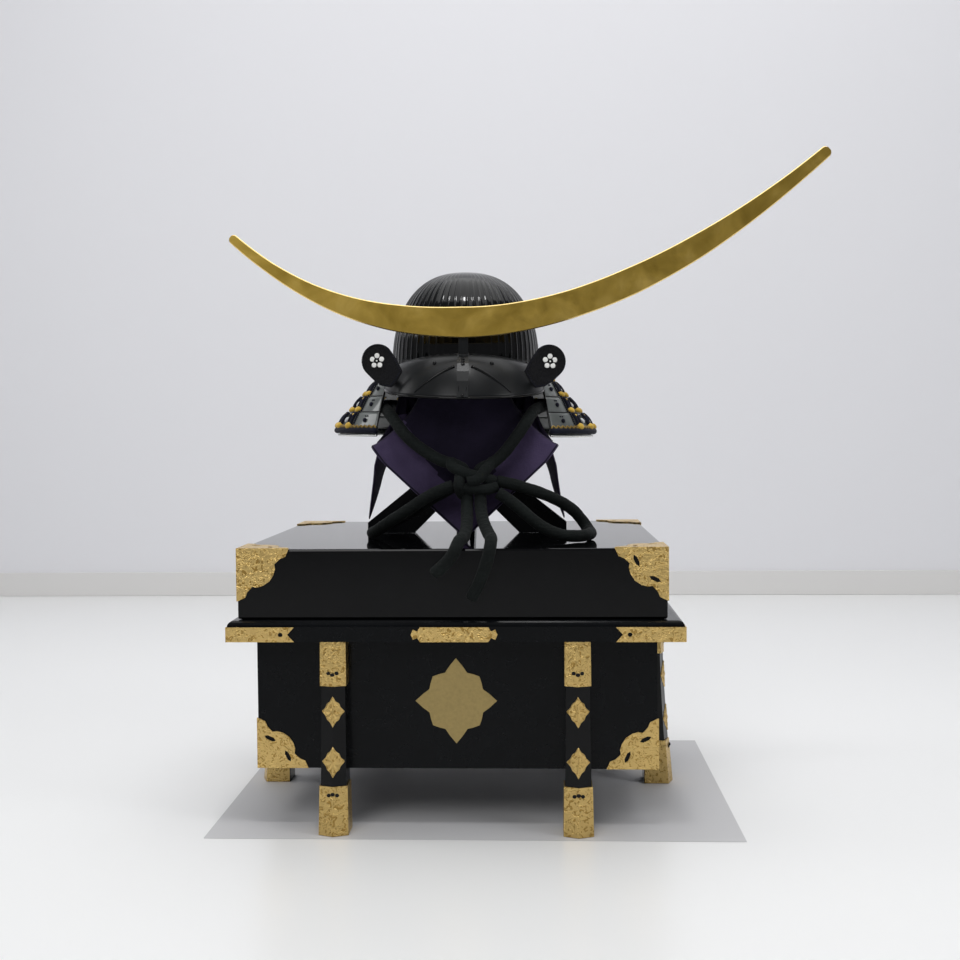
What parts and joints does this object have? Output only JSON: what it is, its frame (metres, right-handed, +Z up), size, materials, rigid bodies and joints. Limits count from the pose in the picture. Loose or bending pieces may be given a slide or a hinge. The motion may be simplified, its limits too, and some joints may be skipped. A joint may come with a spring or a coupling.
{
  "type": "samurai helmet with crescent crest on stand and six-legged armour chest",
  "caption": "Samurai helmet with a gilt crescent crest and laced neck guard, on a cloth-draped stand atop a lacquered six-legged armour chest.",
  "frame": {"origin": "on the floor, in the middle of the footprint box of everything but the cord", "axes": "+Z up, the helmet's and the chest's front look along -Y, +X to the viewer's right"},
  "size_m": [0.7358, 0.479, 0.8095],
  "materials": {
    "helmet_lacquer": "gloss black lacquer over iron, worn to dark grey on the edges",
    "gold_leaf": "satin gilt, a little mottled, with a bright edge",
    "leather": "stippled black leather with a dotted edge cord",
    "enamel": "white lacquer",
    "stand_lacquer": "gloss black lacquer",
    "head_form": "matt black paper",
    "cloth": "dark purple crepe with a fine weave",
    "satin_lacquer": "satin black lacquer",
    "chest_lacquer": "mirror-gloss black lacquer",
    "gilt": "engraved gilt brass, polished high points",
    "cord": "dark green-black twisted crepe"
  },
  "bodies": {
    "root": {"bowl": "helmet_lacquer", "visor": "helmet_lacquer", "crest_holder": "helmet_lacquer", "neck_lame_1": "helmet_lacquer", "neck_lame_2": "helmet_lacquer", "neck_lame_3": "helmet_lacquer", "neck_lame_4": "helmet_lacquer", "crest": "gold_leaf", "ear_left": "leather", "ear_flower_left": "enamel", "ear_right": "leather", "ear_flower_right": "enamel", "stand_board": "stand_lacquer", "stand_cross": "stand_lacquer", "stand_post": "stand_lacquer", "head_form": "head_form", "stand_cloth": "cloth", "chest_body": "satin_lacquer", "chest_lid": "chest_lacquer", "leg_front_left": "chest_lacquer", "shoe_front_left": "gilt", "collar_front_left": "gilt", "leg_front_right": "chest_lacquer", "shoe_front_right": "gilt", "collar_front_right": "gilt", "leg_right": "chest_lacquer", "shoe_right": "gilt", "collar_right": "gilt", "leg_back_right": "chest_lacquer", "shoe_back_right": "gilt", "collar_back_right": "gilt", "leg_back_left": "chest_lacquer", "shoe_back_left": "gilt", "collar_back_left": "gilt", "leg_left": "chest_lacquer", "shoe_left": "gilt", "collar_left": "gilt", "lid_corner_front_left": "gilt", "chest_corner_front_left": "gilt", "rim_strap_front_left": "gilt", "lid_corner_front_right": "gilt", "chest_corner_front_right": "gilt", "rim_strap_front_right": "gilt", "lid_corner_back_right": "gilt", "chest_corner_back_right": "gilt", "rim_strap_back_right": "gilt", "lid_corner_back_left": "gilt", "chest_corner_back_left": "gilt", "rim_strap_back_left": "gilt", "rim_bar_front": "gilt", "rim_bar_back": "gilt", "chest_ornament": "gilt", "chin_loop": "cord", "bow_left": "cord", "bow_right": "cord", "tail_left": "cord", "tail_right": "cord", "cord_knot": "cord"}
  },
  "joints": []
}
